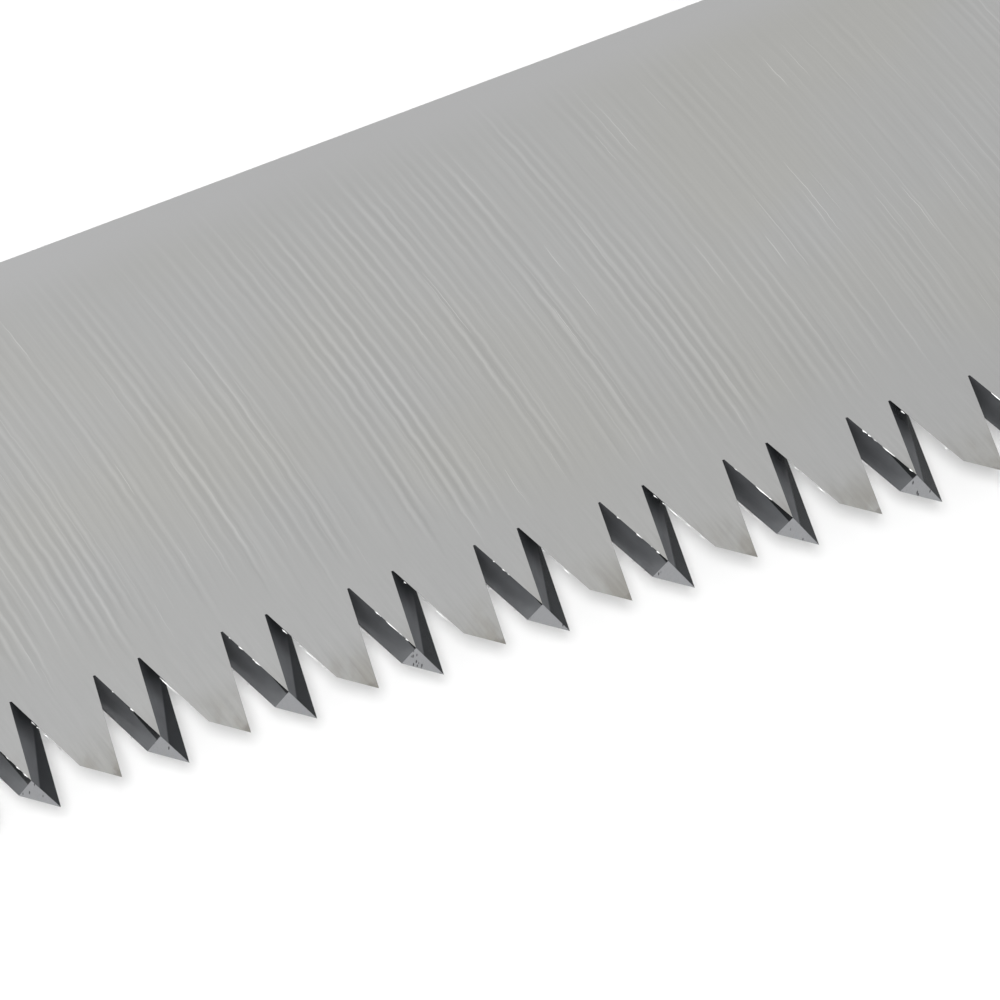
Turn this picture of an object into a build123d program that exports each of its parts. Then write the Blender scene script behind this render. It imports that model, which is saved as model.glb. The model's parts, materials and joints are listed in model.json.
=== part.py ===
from build123d import *
import os
from math import cos, radians, sin, tan

os.makedirs("parts", exist_ok=True)

# Folding pull saw, stored open and lying on its right side. Millimetres and degrees.
# +X runs from the toe of the blade to the butt of the handle, +Y from the teeth to the
# spine, +Z from the right side of the saw to the left. Every profile is drawn on a level
# parallel to the blade, with the blade pivot at x = y = 0 and the blade's middle at z = 0.

# ---- blade ----
BLADE_T = 1.3
TOOTH_PITCH = 3.5
TOOTH_COUNT = 68
TIP_LINE_Y = -19.0  # all tooth tips lie on this line
HEEL_TIP_X = -27.5  # tip of the tooth next to the handle
GULLET_DEPTH = 5.81
GULLET_ROOT_X = 0.21  # root ahead of the tip, so that the cutting edge stands nearly square
GULLET_ROOT_FLAT = 0.12
BACK_ANGLE = 26.8  # of a tooth's back, from square to the tip line
FLEAM_SHIFT = 1.02  # how far a gullet shifts along the blade through its thickness
FLEAM_RISE = 0.125
LAND_ANGLE = 35.7  # of the short facet at the tip, to the tip line
LAND_RISE = 0.75  # of that facet through the thickness
SPINE_Y = 15.55  # at the pivot end
SPINE_TAPER = 0.0425
SPINE_TAPER_FROM_X = -26.0
SHOULDER_X = -10.0  # the full width of the blade ends here
RICASSO_Y = -13.0  # lower edge of the toothless stretch in front of the pivot
TOE_X = -267.0

# ---- tang, pivot and lock ----
TANG_R = 14.0
PIVOT_R = 4.0
PIVOT_HEAD_R = 8.0
RUNNING_GAP = 0.04
NOTCH_ANGLE = 107.5  # of the notch that holds the blade open; the other is opposite
NOTCH_FLOOR_R = 11.6
NOTCH_W = 5.2
HOOK_W = 4.6
HOOK_END_R = 12.0  # of the hook's end from the pivot, locked
LEVER_PIVOT = (36.0, 25.0)
LEVER_TRAVEL = 4.5
LEVER_PIN_R = 2.0
LEVER_T = 3.2
STOP_PIN = (-13.0, 18.65)
STOP_PIN_R = 2.5

# ---- handle ----
SLOT_HALF = 1.7  # half of the slot that the blade folds into
LINER_T = 1.5
LINER_Z = SLOT_HALF + LINER_T
GRIP_Z = 11.2  # half of the handle's thickness
HANDLE_TOP_Y = 32.5  # top of the thumb pad
HANDLE_BOTTOM_Y = -24.0  # tip of the rear finger stop
BUTT_X = 288.0
GRIP_FRONT_X = 17.0
SPACER_Y = (20.6, 25.5)
RIVET_R = 1.5
RIVET_XS = (100.0, 152.0, 204.0, 256.0)
SCREW_POINTS = ((47.0, 4.0), (104.0, 6.0), (181.0, 7.0), (258.0, 8.0))
SCREW_R = 1.5
SCREW_HEAD_R = 3.2
SCREW_HEAD_Z = (7.2, 9.4)
TUBE_POINT = (277.5, 4.0)
TUBE_R = 5.0
TUBE_BORE_R = 4.0
TUBE_HALF = 10.6
THUMB_PAD_X = (45.0, 73.0)
THUMB_PAD_Y = (28.7, 32.5)
SPRING_T = 0.6

# The row's origin is at the middle of the bottom of the whole saw's box.
PIVOT = Vector(-(TOE_X + BUTT_X) / 2, -(HANDLE_BOTTOM_Y + HANDLE_TOP_Y) / 2, GRIP_Z)


def level(z):
    """The plane parallel to the blade at height z over the blade's middle."""
    return Plane(origin=PIVOT + Vector(0, 0, z))


def side_level(sign, z):
    """A level z away from the blade's middle on one side, with +Z outwards."""
    return Plane(origin=PIVOT + Vector(0, 0, sign * z), x_dir=(1, 0, 0), z_dir=(0, 0, sign))


def flip(points, sign):
    """Points drawn in the blade's plane, as they read on side_level(sign, z)."""
    return [(x, sign * y) for x, y in points]


def spine_y(x):
    return SPINE_Y + SPINE_TAPER * (x - SPINE_TAPER_FROM_X)


def polar(radius, angle):
    return Vector(radius * cos(radians(angle)), radius * sin(radians(angle)))


def save(part, name):
    part.label = name
    export_step(part, f"parts/{name}.step")


# ---- blade: plate, tang, notches, then the ground teeth ----

def gullet(tip_x, reach):
    """Outline of the gullet behind a tooth's cutting edge, on the face that holds its tip,
    drawn `reach` times the thickness outside that face."""
    below = 1.5
    x = tip_x + reach * FLEAM_SHIFT
    y = TIP_LINE_Y - reach * FLEAM_RISE
    front = GULLET_ROOT_X / GULLET_DEPTH
    back = tan(radians(BACK_ANGLE))
    return [
        (x + GULLET_ROOT_X, y + GULLET_DEPTH),
        (x - front * below, y - below),
        (x + GULLET_ROOT_X + GULLET_ROOT_FLAT + back * (GULLET_DEPTH + below), y - below),
        (x + GULLET_ROOT_X + GULLET_ROOT_FLAT, y + GULLET_DEPTH),
    ]


def tip_land(tip_x, reach):
    """Outline of what is ground away below a tooth's tip facet, drawn the same way."""
    fall = tan(radians(LAND_ANGLE))
    y = TIP_LINE_Y - reach * LAND_RISE
    left, right = tip_x - 2.4, tip_x + 0.9
    bottom = TIP_LINE_Y - 3.0
    return [
        (left, y + fall * (tip_x - left)),
        (left, bottom),
        (right, bottom),
        (right, y - fall * (right - tip_x)),
    ]


tooth_tips = [HEEL_TIP_X - TOOTH_PITCH * i for i in range(TOOTH_COUNT + 1)]
last_tip_x = tooth_tips[TOOTH_COUNT - 1]
blade_radii = [1.5, 9, 5, 2, 0, 0, 0, 1.5, 0, 0, 0]
blade_outline = [
    (SHOULDER_X, spine_y(SHOULDER_X)),
    (TOE_X + 15.0, spine_y(TOE_X + 15.0)),
    (TOE_X, -4.0),
    (TOE_X, -10.0),
    (last_tip_x - 3.3, TIP_LINE_Y + GULLET_DEPTH),
    (last_tip_x - 0.2, TIP_LINE_Y),
    (HEEL_TIP_X + 1.2, TIP_LINE_Y),
    (HEEL_TIP_X + 4.5, RICASSO_Y),
    (-4.0, RICASSO_Y),
    (0.0, 0.0),
    (SHOULDER_X, 8.0),
]
with BuildPart() as blade:
    with BuildSketch(level(-BLADE_T / 2)):
        with BuildLine():
            FilletPolyline(*blade_outline, radius=blade_radii, close=True)
        make_face()
        Circle(TANG_R)
        Circle(PIVOT_R + RUNNING_GAP, mode=Mode.SUBTRACT)
        for notch_angle in (NOTCH_ANGLE, NOTCH_ANGLE - 180):
            notch_at = polar((NOTCH_FLOOR_R + TANG_R + 2) / 2, notch_angle)
            with Locations(Location(notch_at, notch_angle)):
                Rectangle(TANG_R + 2 - NOTCH_FLOOR_R, NOTCH_W, mode=Mode.SUBTRACT)
    extrude(amount=BLADE_T)
    for tip_side in (1, -1):
        tips = tooth_tips[0::2] if tip_side > 0 else tooth_tips[1::2]
        grinds = (
            (gullet, Vector(-FLEAM_SHIFT, FLEAM_RISE, -tip_side * BLADE_T)),
            (tip_land, Vector(0, LAND_RISE, -tip_side * BLADE_T)),
        )
        for outline, through in grinds:
            reach = 0.4
            with BuildSketch(level(tip_side * BLADE_T * (0.5 + reach))):
                for tip_x in tips:
                    with BuildLine():
                        Polyline(*outline(tip_x, reach), close=True)
                    make_face()
            extrude(amount=through.length * (1 + 2 * reach), dir=through, mode=Mode.SUBTRACT)
save(blade.part, "blade")

# ---- pivot: barrel nut from the left, screw from the right, washers beside the tang ----

with BuildPart() as pivot_barrel:
    with BuildSketch(level(-LINER_Z)):
        Circle(PIVOT_R)
    extrude(amount=2 * LINER_Z)
    with BuildSketch(level(LINER_Z)):
        Circle(PIVOT_HEAD_R)
    extrude(amount=1.8)
    chamfer(pivot_barrel.faces().sort_by(Axis.Z)[-1].edges(), length=0.5)
    with BuildSketch(level(LINER_Z + 1.8)):
        RegularPolygon(radius=3.2, side_count=6)
    extrude(amount=-1.2, mode=Mode.SUBTRACT)
    with BuildSketch(level(-LINER_Z)):
        Circle(2.5)
    extrude(amount=5.6, mode=Mode.SUBTRACT)
save(pivot_barrel.part, "pivot_barrel")

with BuildPart() as pivot_screw:
    with BuildSketch(level(-LINER_Z)):
        Circle(PIVOT_HEAD_R - 1)
    extrude(amount=-1.6)
    chamfer(pivot_screw.faces().sort_by(Axis.Z)[0].edges(), length=0.5)
    with BuildSketch(level(-LINER_Z)):
        Circle(2.45)
    extrude(amount=5.2)
    with BuildSketch(level(-LINER_Z - 1.6)):
        RegularPolygon(radius=2.4, side_count=6)
    extrude(amount=1.1, mode=Mode.SUBTRACT)
save(pivot_screw.part, "pivot_screw")

washer_play = 0.025
for sign, name in ((1, "washer_left"), (-1, "washer_right")):
    with BuildPart() as washer:
        with BuildSketch(side_level(sign, BLADE_T / 2 + washer_play)):
            Circle(10.0)
            Circle(PIVOT_R + 0.05, mode=Mode.SUBTRACT)
        extrude(amount=SLOT_HALF - BLADE_T / 2 - 2 * washer_play)
    save(washer.part, name)

# ---- frame of the handle: liners, stop pin, spacers, rivets, tube ----

liner_outline = [
    (-12.0, -14.0), (13.0, -14.0), (24.0, -9.5), (240.0, -8.5), (261.0, -11.5), (270.0, -20.5),
    (281.0, -18.5), (285.5, -4.0), (285.5, 16.0), (276.0, 25.5), (-15.0, 25.5), (-21.0, 18.5),
    (-21.0, -5.0),
]
liner_radii = [8, 7, 14, 60, 9, 4, 5, 20, 12, 10, 5, 6, 10]
end_block = (270.0, 286.0)


def liner_holes():
    """Cuts the holes that both liners share out of the profile being drawn."""
    Circle(PIVOT_R + 0.02, mode=Mode.SUBTRACT)
    with Locations(STOP_PIN):
        Circle(STOP_PIN_R - 1 + 0.02, mode=Mode.SUBTRACT)
    with Locations(LEVER_PIVOT):
        Circle(LEVER_PIN_R + 0.02, mode=Mode.SUBTRACT)
    with Locations(*[(x, sum(SPACER_Y) / 2) for x in RIVET_XS]):
        Circle(RIVET_R + 0.02, mode=Mode.SUBTRACT)
    with Locations(*SCREW_POINTS):
        Circle(SCREW_R + 0.02, mode=Mode.SUBTRACT)
    with Locations(TUBE_POINT):
        Circle(TUBE_R + 0.02, mode=Mode.SUBTRACT)


for base_z, outer_end, name in ((SLOT_HALF, -1, "liner_left"), (-LINER_Z, 0, "liner_right")):
    with BuildPart() as liner:
        with BuildSketch(level(base_z)):
            with BuildLine():
                FilletPolyline(*liner_outline, radius=liner_radii, close=True)
            make_face()
            liner_holes()
        extrude(amount=LINER_T)
        outer_face = liner.faces().sort_by(Axis.Z)[outer_end]
        chamfer(outer_face.outer_wire().edges(), length=0.4)
    save(liner.part, name)

with BuildPart() as stop_pin:
    with BuildSketch(level(-SLOT_HALF)):
        with Locations(STOP_PIN):
            Circle(STOP_PIN_R)
    extrude(amount=2 * SLOT_HALF)
    with BuildSketch(level(-LINER_Z)):
        with Locations(STOP_PIN):
            Circle(STOP_PIN_R - 1)
    extrude(amount=2 * LINER_Z)
    for sign in (1, -1):
        with BuildSketch(side_level(sign, LINER_Z)):
            with Locations(*flip([STOP_PIN], sign)):
                Circle(STOP_PIN_R)
        extrude(amount=0.7)
    rims = stop_pin.edges().filter_by(GeomType.CIRCLE).sort_by(Axis.Z)
    fillet([rims[0], rims[-1]], radius=0.5)
save(stop_pin.part, "stop_pin")

spring_root_y = 22.0  # middle of the leaf spring where the back spacer holds it
spring_root_x = (82.0, 93.0)
spring_tip = (59.5, 20.75)  # middle of the free end, under the tail of the lever

with BuildPart() as back_spacer:
    with BuildSketch(level(-SLOT_HALF)):
        with Locations(((spring_root_x[0] + end_block[0] - 0.5) / 2, sum(SPACER_Y) / 2)):
            RectangleRounded(end_block[0] - 0.5 - spring_root_x[0], SPACER_Y[1] - SPACER_Y[0], 1.0)
        with Locations(*[(x, sum(SPACER_Y) / 2) for x in RIVET_XS]):
            Circle(RIVET_R + 0.02, mode=Mode.SUBTRACT)
        with Locations((sum(spring_root_x) / 2, spring_root_y)):
            Rectangle(spring_root_x[1] - spring_root_x[0], SPRING_T, mode=Mode.SUBTRACT)
    extrude(amount=2 * SLOT_HALF)
save(back_spacer.part, "back_spacer")

with BuildPart() as end_spacer:
    with BuildSketch(level(-SLOT_HALF)):
        with BuildLine():
            FilletPolyline(*liner_outline, radius=liner_radii, close=True)
        make_face()
        with Locations((sum(end_block) / 2, 0)):
            Rectangle(end_block[1] - end_block[0], 80, mode=Mode.INTERSECT)
        with Locations(TUBE_POINT):
            Circle(TUBE_R + 0.02, mode=Mode.SUBTRACT)
    extrude(amount=2 * SLOT_HALF)
save(end_spacer.part, "end_spacer")

with BuildPart() as spacer_rivets:
    with BuildSketch(level(-LINER_Z)):
        with Locations(*[(x, sum(SPACER_Y) / 2) for x in RIVET_XS]):
            Circle(RIVET_R)
    extrude(amount=2 * LINER_Z)
save(spacer_rivets.part, "spacer_rivets")

with BuildPart() as lanyard_tube:
    with BuildSketch(level(-TUBE_HALF)):
        with Locations(TUBE_POINT):
            Circle(TUBE_R)
            Circle(TUBE_BORE_R, mode=Mode.SUBTRACT)
    extrude(amount=2 * TUBE_HALF)
save(lanyard_tube.part, "lanyard_tube")

# ---- lock lever, drawn with its thumb pad pressed, so that the hook is clear of the tang ----


def pressed(point):
    """Where a point of the locked lever lies once the lever is pressed."""
    out = point - Vector(*LEVER_PIVOT)
    return Vector(*LEVER_PIVOT) + out.rotate(Axis.Z, -LEVER_TRAVEL)


along = polar(1, NOTCH_ANGLE)
across = polar(1, NOTCH_ANGLE - 90)
hook_outline = [
    pressed(along * radius + across * offset)
    for radius, offset in (
        (HOOK_END_R, -HOOK_W / 2), (HOOK_END_R, HOOK_W / 2), (22.0, HOOK_W / 2), (22.0, -HOOK_W / 2)
    )
]
arm_outline = [
    (-8.6, 20.5), (2.0, 20.8), (22.0, 22.0), (40.0, 21.3), (60.0, 21.3), (75.0, 22.8),
    (75.5, 26.6), (71.0, 27.6), (44.0, 27.6), (36.0, 29.2), (14.0, 28.2), (-8.6, 27.4),
]
arm_radii = [1.5, 2, 20, 8, 8, 1.5, 1.5, 2, 2, 8, 30, 2.5]
rib_x = (THUMB_PAD_X[0] + 3, THUMB_PAD_X[1] - 3)
rib_top_y = 29.9
with BuildPart() as lock_lever:
    with BuildSketch(level(-LEVER_T / 2)):
        with BuildLine():
            FilletPolyline(*arm_outline, radius=arm_radii, close=True)
        make_face()
        with BuildLine():
            Polyline(*hook_outline, close=True)
        make_face()
        with Locations((sum(rib_x) / 2, (rib_top_y + 26) / 2)):
            Rectangle(rib_x[1] - rib_x[0], rib_top_y - 26)
        with Locations(LEVER_PIVOT):
            Circle(LEVER_PIN_R + 0.05, mode=Mode.SUBTRACT)
    extrude(amount=LEVER_T)
    for end in (0, -1):
        chamfer(lock_lever.faces().sort_by(Axis.Z)[end].outer_wire().edges(), length=0.3)
save(lock_lever.part, "lock_lever")

with BuildPart() as lever_pin:
    with BuildSketch(level(-LINER_Z)):
        with Locations(LEVER_PIVOT):
            Circle(LEVER_PIN_R)
    extrude(amount=2 * LINER_Z)
save(lever_pin.part, "lever_pin")

pad_half = 5.6
with BuildPart() as thumb_pad:
    with BuildSketch(level(-pad_half)):
        with BuildLine():
            left, right = THUMB_PAD_X
            low, high = THUMB_PAD_Y
            Polyline((left, high - 1.6), (left, low), (right, low), (right, high - 0.6))
            ThreePointArc((right, high - 0.6), (right - 1.6, high), (right - 4, high - 0.35))
            ThreePointArc((right - 4, high - 0.35), ((left + right) / 2, high - 1.4), (left, high - 1.6))
        make_face()
    extrude(amount=2 * pad_half)
    for end in (0, -1):
        fillet(thumb_pad.faces().sort_by(Axis.Z)[end].edges().sort_by(Axis.Y)[1:], radius=1.0)
    with BuildSketch(level(-LEVER_T / 2)):
        with Locations((sum(rib_x) / 2, (rib_top_y + low - 2) / 2)):
            Rectangle(rib_x[1] - rib_x[0], rib_top_y - low + 2)
    extrude(amount=LEVER_T, mode=Mode.SUBTRACT)
save(thumb_pad.part, "thumb_pad")

with BuildPart() as lever_spring:
    with BuildSketch(level(-SLOT_HALF + 0.2)):
        with BuildLine():
            half = SPRING_T / 2
            root_start = (spring_root_x[0], spring_root_y - half)
            root_over = (spring_root_x[0], spring_root_y + half)
            tip_under = (spring_tip[0], spring_tip[1] - half)
            tip_over = (spring_tip[0], spring_tip[1] + half)
            Spline(tip_under, root_start, tangents=((1, 0), (1, 0)))
            Polyline(root_start, (spring_root_x[1], spring_root_y - half),
                     (spring_root_x[1], spring_root_y + half), root_over)
            Spline(root_over, tip_over, tangents=((-1, 0), (-1, 0)))
            Line(tip_over, tip_under)
        make_face()
    extrude(amount=2 * SLOT_HALF - 0.4)
save(lever_spring.part, "lever_spring")

# ---- grips: two moulded shells screwed on the liners ----

grip_outline = [
    (GRIP_FRONT_X, 24.6), (GRIP_FRONT_X + 2.5, -10.0), (30.0, -15.0), (56.0, -9.5), (135.0, -13.8),
    (222.0, -9.8), (256.0, -13.5), (268.0, HANDLE_BOTTOM_Y), (280.0, HANDLE_BOTTOM_Y),
    (BUTT_X, -8.0), (BUTT_X, 14.0), (279.0, 27.6), (170.0, 28.4), (92.0, 28.4), (78.0, 27.8),
    (36.0, 27.8),
]
grip_radii = [4, 4, 10, 50, 260, 140, 14, 5, 5.5, 24, 13, 12, 500, 40, 40, 20]
grip_bulge = [  # half of the handle from above: x, z
    (GRIP_FRONT_X - 1, 0.0), (GRIP_FRONT_X - 1, 5.2), (40.0, GRIP_Z), (BUTT_X - 10.0, GRIP_Z),
    (BUTT_X + 1.0, 7.0), (BUTT_X + 1.0, 0.0),
]
for sign, name in ((1, "grip_left"), (-1, "grip_right")):
    with BuildPart() as grip:
        with BuildSketch(side_level(sign, LINER_Z)):
            with BuildLine():
                FilletPolyline(*flip(grip_outline, sign), radius=grip_radii, close=True)
            make_face()
        extrude(amount=GRIP_Z - LINER_Z)
        outer_face = grip.faces().sort_by(Axis.Z)[-1 if sign > 0 else 0]
        fillet(outer_face.edges(), radius=3.0)
        with BuildSketch(Plane(origin=PIVOT + Vector(0, 60, 0), x_dir=(1, 0, 0), z_dir=(0, -1, 0))):
            with BuildLine():
                FilletPolyline(*flip(grip_bulge, sign), radius=[0, 0, 60, 8, 4, 0], close=True)
            make_face()
        extrude(amount=120, mode=Mode.INTERSECT)
        with BuildSketch(side_level(sign, LINER_Z)):
            with Locations(*flip(SCREW_POINTS, sign)):
                Circle(SCREW_R + 0.1)
            with Locations(*flip([TUBE_POINT], sign)):
                Circle(TUBE_R + 0.02)
        extrude(amount=GRIP_Z, mode=Mode.SUBTRACT)
        with BuildSketch(side_level(sign, SCREW_HEAD_Z[0])):
            with Locations(*flip(SCREW_POINTS, sign)):
                Circle(SCREW_HEAD_R + 0.15)
        extrude(amount=GRIP_Z, mode=Mode.SUBTRACT)
    save(grip.part, name)

for sign, name in ((1, "grip_screws_left"), (-1, "grip_screws_right")):
    with BuildPart() as grip_screws:
        with BuildSketch(side_level(sign, SLOT_HALF + 0.2)):
            with Locations(*flip(SCREW_POINTS, sign)):
                Circle(SCREW_R)
        extrude(amount=SCREW_HEAD_Z[0] - SLOT_HALF - 0.2)
        with BuildSketch(side_level(sign, SCREW_HEAD_Z[0])):
            with Locations(*flip(SCREW_POINTS, sign)):
                Circle(SCREW_HEAD_R)
        extrude(amount=SCREW_HEAD_Z[1] - SCREW_HEAD_Z[0])
        with BuildSketch(side_level(sign, SCREW_HEAD_Z[1])):
            with Locations(*flip(SCREW_POINTS, sign)):
                RegularPolygon(radius=1.7, side_count=6)
        extrude(amount=-1.3, mode=Mode.SUBTRACT)
    save(grip_screws.part, name)
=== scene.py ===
import json
import math
import random

import bmesh
import bpy
import numpy as np
from mathutils import Matrix, Vector


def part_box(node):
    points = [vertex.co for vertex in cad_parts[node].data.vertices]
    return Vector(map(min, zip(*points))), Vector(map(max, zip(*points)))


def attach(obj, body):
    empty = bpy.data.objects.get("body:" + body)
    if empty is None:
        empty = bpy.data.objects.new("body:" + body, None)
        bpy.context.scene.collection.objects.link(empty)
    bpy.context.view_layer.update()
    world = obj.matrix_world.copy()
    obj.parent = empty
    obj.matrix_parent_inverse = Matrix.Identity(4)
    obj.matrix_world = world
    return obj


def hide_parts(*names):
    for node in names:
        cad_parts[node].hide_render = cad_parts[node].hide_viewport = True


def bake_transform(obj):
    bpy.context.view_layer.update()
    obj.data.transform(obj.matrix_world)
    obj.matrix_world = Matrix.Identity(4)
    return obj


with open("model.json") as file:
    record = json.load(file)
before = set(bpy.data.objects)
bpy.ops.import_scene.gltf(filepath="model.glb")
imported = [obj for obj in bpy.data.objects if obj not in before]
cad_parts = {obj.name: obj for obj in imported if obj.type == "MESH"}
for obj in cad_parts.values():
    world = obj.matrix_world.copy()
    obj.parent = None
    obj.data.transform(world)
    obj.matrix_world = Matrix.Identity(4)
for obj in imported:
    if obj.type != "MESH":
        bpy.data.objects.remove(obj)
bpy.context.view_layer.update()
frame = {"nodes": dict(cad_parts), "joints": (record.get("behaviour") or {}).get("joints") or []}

# Looks for the folding pull saw: the ground blade, the moulded grips, the thumb pad and the
# materials of every CAD node. Lengths are in millimetres until they are multiplied by MM.
MM = 0.001
WHITE = (1.0, 1.0, 1.0, 1.0)

# ---- places, all taken from the frame ----

joints = {joint["name"]: joint for joint in frame["joints"]}
PIVOT = Vector(joints["blade_fold"]["pos_m"]) / MM
BLADE_LOW, BLADE_HIGH = (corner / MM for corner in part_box("blade"))
TIP_Y = BLADE_LOW.y  # the line of the tooth tips
MID_Z = PIVOT.z
HALF_T = BLADE_HIGH.z - MID_Z

# The blade's teeth, as the CAD model has them
PITCH = 3.5
TOOTH_COUNT = 68
HEEL_TIP_X = PIVOT.x - 27.5
GULLET_DEPTH = 5.81
GULLET_ROOT_X = 0.21
GULLET_ROOT_FLAT = 0.12
FLEAM_SHIFT = 1.02
BACK_SLOPE = math.tan(math.radians(26.8))
LAND_ANGLE = math.radians(35.7)
SPINE_SLOPE = 0.0425
SPINE_TOP_X = -10.0  # the highest point of the spine, from the pivot
SPINE_Y_AT_PIVOT = BLADE_HIGH.y - SPINE_SLOPE * SPINE_TOP_X


# ---- node materials ----

class Shader:
    """One procedural material. Methods add nodes and return their output sockets."""

    def __init__(self, name, metallic=0.0, **constants):
        self.material = bpy.data.materials.new(name)
        self.material.use_nodes = True
        self.tree = self.material.node_tree
        self.bsdf = self.tree.nodes["Principled BSDF"]
        self.bsdf.inputs["Metallic"].default_value = metallic
        for socket, value in constants.items():
            self.bsdf.inputs[socket.replace("_", " ")].default_value = value
        coordinates = self.tree.nodes.new("ShaderNodeTexCoord").outputs
        self.place = self.vector("MULTIPLY", coordinates["Object"], (1 / MM,) * 3)
        self.x, self.y, self.z = self.split(self.place)
        self.normal = coordinates["Normal"]

    def split(self, vector):
        node = self.tree.nodes.new("ShaderNodeSeparateXYZ")
        self.tree.links.new(vector, node.inputs[0])
        return node.outputs

    def feed(self, socket, value):
        """Connects a socket, or sets its constant; a colour is given as three numbers."""
        if isinstance(value, bpy.types.NodeSocket):
            self.tree.links.new(value, socket)
        elif socket.type == "RGBA":
            socket.default_value = (*value, 1.0)
        else:
            socket.default_value = value

    def vector(self, operation, a, b):
        node = self.tree.nodes.new("ShaderNodeVectorMath")
        node.operation = operation
        self.feed(node.inputs[0], a)
        self.feed(node.inputs[1], b)
        return node.outputs["Vector"]

    def math(self, operation, a, b=0.0):
        node = self.tree.nodes.new("ShaderNodeMath")
        node.operation = operation
        self.feed(node.inputs[0], a)
        self.feed(node.inputs[1], b)
        return node.outputs[0]

    def add(self, a, b):
        return self.math("ADD", a, b)

    def times(self, a, b):
        return self.math("MULTIPLY", a, b)

    def rise(self, value, low, high):
        """0 below low, 1 above high and smooth between them; low may be above high."""
        node = self.tree.nodes.new("ShaderNodeMapRange")
        node.interpolation_type = "SMOOTHSTEP"
        self.feed(node.inputs["Value"], value)
        node.inputs["From Min"].default_value = min(low, high)
        node.inputs["From Max"].default_value = max(low, high)
        node.inputs["To Min"].default_value = 0.0 if low < high else 1.0
        node.inputs["To Max"].default_value = 1.0 if low < high else 0.0
        return node.outputs["Result"]

    def point(self, x=0.0, y=0.0, z=0.0):
        node = self.tree.nodes.new("ShaderNodeCombineXYZ")
        for socket, value in zip(node.inputs, (x, y, z)):
            self.feed(socket, value)
        return node.outputs[0]

    def noise(self, vector=None, scale=1.0, detail=2.0, roughness=0.5, stretch=None):
        """Values around 0.5. With stretch, the noise has that many cells per millimetre each way."""
        node = self.tree.nodes.new("ShaderNodeTexNoise")
        source = self.place if vector is None else vector
        if stretch is not None:
            source = self.vector("MULTIPLY", source, stretch)
        self.feed(node.inputs["Vector"], source)
        node.inputs["Scale"].default_value = scale
        node.inputs["Detail"].default_value = detail
        node.inputs["Roughness"].default_value = roughness
        return node.outputs["Fac"]

    def swing(self, *vector, **settings):
        """Noise as above, but with values around 0."""
        return self.add(self.noise(*vector, **settings), -0.5)

    def cells(self, scale, feature="F1", vector=None):
        """Distance from the nearest of many scattered points."""
        node = self.tree.nodes.new("ShaderNodeTexVoronoi")
        node.feature = feature
        self.feed(node.inputs["Vector"], self.place if vector is None else vector)
        node.inputs["Scale"].default_value = scale
        return node.outputs["Distance"]

    def mix(self, share, a, b):
        """Colour a where share is 0, colour b where it is 1."""
        node = self.tree.nodes.new("ShaderNodeMix")
        node.data_type = "RGBA"
        self.feed(node.inputs["Factor"], share)
        self.feed(node.inputs[6], a)
        self.feed(node.inputs[7], b)
        return node.outputs[2]

    def shade(self, colour, factor):
        """The colour times a factor."""
        node = self.tree.nodes.new("ShaderNodeMix")
        node.data_type = "RGBA"
        node.blend_type = "MULTIPLY"
        node.inputs["Factor"].default_value = 1.0
        self.feed(node.inputs[6], colour)
        self.feed(node.inputs[7], self.point(factor, factor, factor))
        return node.outputs[2]

    def finish(self, colour, roughness, height=None, depth_mm=0.01):
        """Connects colour, roughness and relief, the height being in units of depth_mm."""
        self.feed(self.bsdf.inputs["Base Color"], colour)
        self.feed(self.bsdf.inputs["Roughness"], roughness)
        if height is not None:
            bump = self.tree.nodes.new("ShaderNodeBump")
            bump.inputs["Strength"].default_value = 1.0
            bump.inputs["Distance"].default_value = depth_mm * MM
            self.feed(bump.inputs["Height"], height)
            self.tree.links.new(bump.outputs[0], self.bsdf.inputs["Normal"])
        return self.material


GRIND_RADIUS = 150.0  # of the wheel's marks on the blade
GRIND_CENTRE_BELOW_TIPS = 21.5
SCALLOP_PITCH = 0.62
LIGHT_CUT_START, LIGHT_CUT_END = PIVOT.x - 98.0, PIVOT.x - 62.0  # where the wheel cut less deep
# Painted light: the face is lit brighter towards the toe from the first place, and less towards
# the handle from the other
PAINTED_LIGHT_FULL, PAINTED_LIGHT_START = PIVOT.x - 128.0, PIVOT.x - 106.0

# Zones of the blade's face, each from the distance where it starts to the one where it is full:
# distances below the spine in the first line, and above the tips in the second
MARKS_FROM_SPINE, SPINE_BAND = (0.8, 7.5), (3.6, 0.4)
MARKS_FROM_TIPS, TOOTH_ZONE, DULL_ZONE, STAIN_ZONE = (6.2, 9.8), (9.5, 4.5), (24.0, 2.0), (3.6, 0.3)

STEEL_WARM, STEEL_COOL = (0.446, 0.445, 0.430), (0.446, 0.448, 0.444)
STEEL_AT_SPINE, STEEL_ON_TEETH = (0.470, 0.471, 0.474), (0.448, 0.450, 0.450)
TOOTH_STAIN, TIP_STAIN = (0.318, 0.306, 0.276), (0.20, 0.185, 0.17)


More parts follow.
